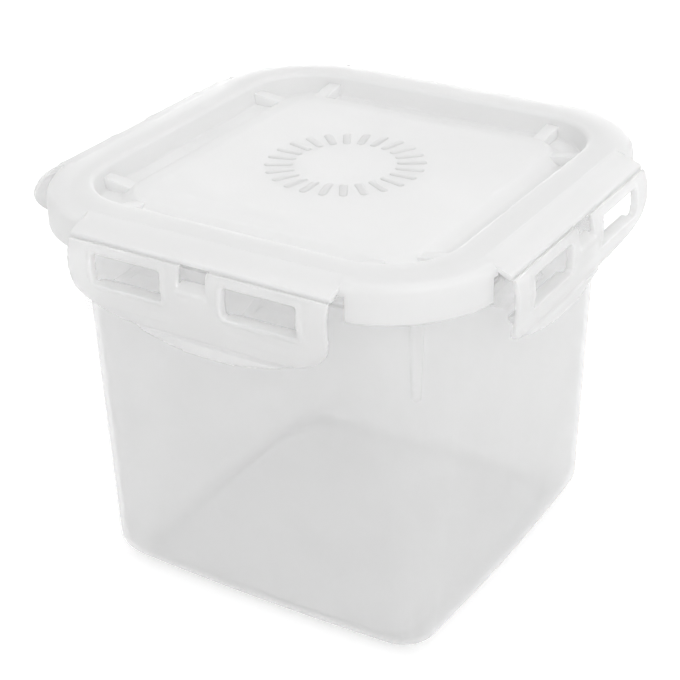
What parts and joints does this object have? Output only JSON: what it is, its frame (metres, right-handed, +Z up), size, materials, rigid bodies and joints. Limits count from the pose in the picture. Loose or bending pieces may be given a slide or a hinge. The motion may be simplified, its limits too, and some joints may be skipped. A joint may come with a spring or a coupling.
{
  "type": "food storage container",
  "caption": "Square clear plastic food tub with tapered walls, a snap lid, hinged side flaps with windows and a seal ring.",
  "frame": {"origin": "middle of the tub's underside, on the surface it stands on", "axes": "+Z up, -Y towards the front flap, +X towards the right flap"},
  "size_m": [0.1818, 0.1666, 0.1364],
  "materials": {
    "clear_polypropylene": "smooth, cloudy and see-through",
    "white_polypropylene": "smooth, milky",
    "clear_silicone": "soft, milky"
  },
  "bodies": {
    "tub": {"tub": "clear_polypropylene"},
    "lid": {"lid": "white_polypropylene", "seal_ring": "clear_silicone"},
    "flap_front": {"flap_front": "white_polypropylene"},
    "flap_right": {"flap_right": "white_polypropylene"},
    "flap_back": {"flap_back": "white_polypropylene"},
    "flap_left": {"flap_left": "white_polypropylene"}
  },
  "joints": [
    {"name": "lid_lift", "type": "slide", "parent": "tub", "child": "lid", "axis": [0, 0, 1], "range_m": [0, 0.05]},
    {"name": "flap_front_hinge", "type": "hinge", "parent": "lid", "child": "flap_front", "pos_m": [0, -0.08075, 0.1313], "axis": [-1, 0, 0], "range_deg": [-10, 145]},
    {"name": "flap_right_hinge", "type": "hinge", "parent": "lid", "child": "flap_right", "pos_m": [0.08075, 0, 0.1313], "axis": [0, -1, 0], "range_deg": [-10, 145]},
    {"name": "flap_back_hinge", "type": "hinge", "parent": "lid", "child": "flap_back", "pos_m": [0, 0.08075, 0.1313], "axis": [1, 0, 0], "range_deg": [-10, 145]},
    {"name": "flap_left_hinge", "type": "hinge", "parent": "lid", "child": "flap_left", "pos_m": [-0.08075, 0, 0.1313], "axis": [0, 1, 0], "range_deg": [-52, 103]}
  ]
}
